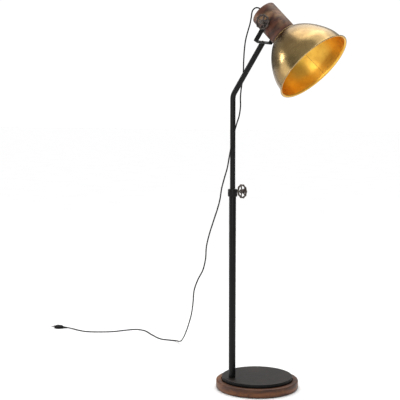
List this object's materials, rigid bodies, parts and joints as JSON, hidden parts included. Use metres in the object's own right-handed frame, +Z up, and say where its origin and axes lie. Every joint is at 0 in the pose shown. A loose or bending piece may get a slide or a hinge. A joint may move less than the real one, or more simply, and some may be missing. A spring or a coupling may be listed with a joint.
{
  "type": "floor lamp",
  "caption": "Pharmacy floor lamp with a round wood and iron base, a telescopic offset mast with a clamping handwheel, and a spun dome shade on a tilting wood cup.",
  "frame": {"origin": "centre of the underside of the round base, on the floor", "axes": "+Z up along the mast; +X the way the slanted arm leans and the shade points; +Y to the side away from the tilt handwheel"},
  "size_m": [1.649, 0.7366, 1.3808],
  "materials": {
    "felt": "dense wool felt",
    "mango_wood": "red-brown stained mango wood with a satin lacquer",
    "cast_iron": "brown-black patinated cast iron with a soft sheen",
    "black_steel": "satin black powder coat",
    "pewter": "cast metal with a dark pewter finish",
    "zinc": "zinc-plated steel",
    "antique_brass": "antique brass outside, bright golden brass inside",
    "brass_insert": "plain machined brass",
    "nylon": "natural nylon",
    "fibre": "pressed vulcanised fibre",
    "phenolic": "black moulded phenolic",
    "rubber": "black flexible PVC and rubber"
  },
  "bodies": {
    "root": {"felt_pad": "felt", "wood_base": "mango_wood", "iron_plate": "cast_iron", "plate_screw_1": "zinc", "plate_screw_2": "zinc", "plate_screw_3": "zinc", "pole_bolt": "zinc", "pole_washer": "zinc", "pole_foot_plug": "zinc", "lower_pole": "black_steel", "guide_bush": "nylon", "clamp_collar": "black_steel", "collar_set_screw": "black_steel", "floor_cord": "rubber", "plug_relief": "rubber", "plug_body": "rubber", "plug_pin_1": "zinc", "plug_pin_2": "zinc"},
    "collar_pad": {"clamp_pad": "brass_insert"},
    "collar_knob": {"collar_screw": "zinc", "collar_wheel": "pewter", "collar_wheel_nut": "pewter"},
    "glide": {"glide_plug": "nylon", "mast_cord": "rubber"},
    "mast": {"upper_tube": "black_steel", "tube_end_insert": "zinc", "yoke": "black_steel", "yoke_screw": "zinc", "near_friction_washer": "fibre", "far_friction_washer": "fibre", "head_cord": "rubber"},
    "head": {"wood_cup": "mango_wood", "shade": "antique_brass", "near_insert": "brass_insert", "far_insert": "brass_insert", "far_pivot_washer": "zinc", "far_pivot_bolt": "black_steel", "holder_plate": "zinc", "holder_nipple": "zinc", "nipple_nut": "zinc", "holder_screw_1": "zinc", "holder_screw_2": "zinc", "lampholder_cap": "phenolic", "lampholder_body": "phenolic", "lampholder_shell": "brass_insert", "lampholder_contact": "brass_insert", "shade_ring": "phenolic", "inner_cord": "rubber", "cord_gland": "rubber"},
    "tilt_washer": {"near_pivot_washer": "zinc"},
    "tilt_knob": {"tilt_screw": "zinc", "tilt_wheel": "pewter", "tilt_wheel_nut": "pewter", "tilt_lock_nut": "zinc"}
  },
  "joints": [
    {"name": "mast_slide", "type": "slide", "parent": "root", "child": "glide", "axis": [0, 0, 1], "range_m": [-0.3, 0.1], "deforming": ["floor_cord"]},
    {"name": "mast_swivel", "type": "hinge", "parent": "glide", "child": "mast", "pos_m": [-0.06235, -0.07378, 0.72], "axis": [0, 0, 1], "range_deg": [-120, 120], "deforming": ["mast_cord"]},
    {"name": "head_tilt", "type": "hinge", "parent": "mast", "child": "head", "pos_m": [0.09978, -0.07378, 1.30905], "axis": [0, 1, 0], "range_deg": [-50, 29], "deforming": ["head_cord"]},
    {"name": "pad_slide", "type": "slide", "parent": "root", "child": "collar_pad", "axis": [0.342, 0.9397, 0], "range_m": [0, 0.0025]},
    {"name": "collar_wheel_turn", "type": "hinge", "parent": "collar_pad", "child": "collar_knob", "pos_m": [-0.06235, -0.07378, 0.7215], "axis": [0.342, 0.9397, 0], "range_deg": [0, 720]},
    {"name": "washer_slide", "type": "slide", "parent": "head", "child": "tilt_washer", "axis": [0, -1, 0], "range_m": [0, 0.00187]},
    {"name": "tilt_wheel_turn", "type": "hinge", "parent": "tilt_washer", "child": "tilt_knob", "pos_m": [0.09978, -0.07378, 1.30905], "axis": [0, -1, 0], "range_deg": [0, 540]}
  ],
  "couplings": [
    {"joint": "collar_wheel_turn", "follows": "pad_slide", "rad_per_m": 5026.5},
    {"joint": "tilt_wheel_turn", "follows": "washer_slide", "rad_per_m": 5026.5}
  ]
}
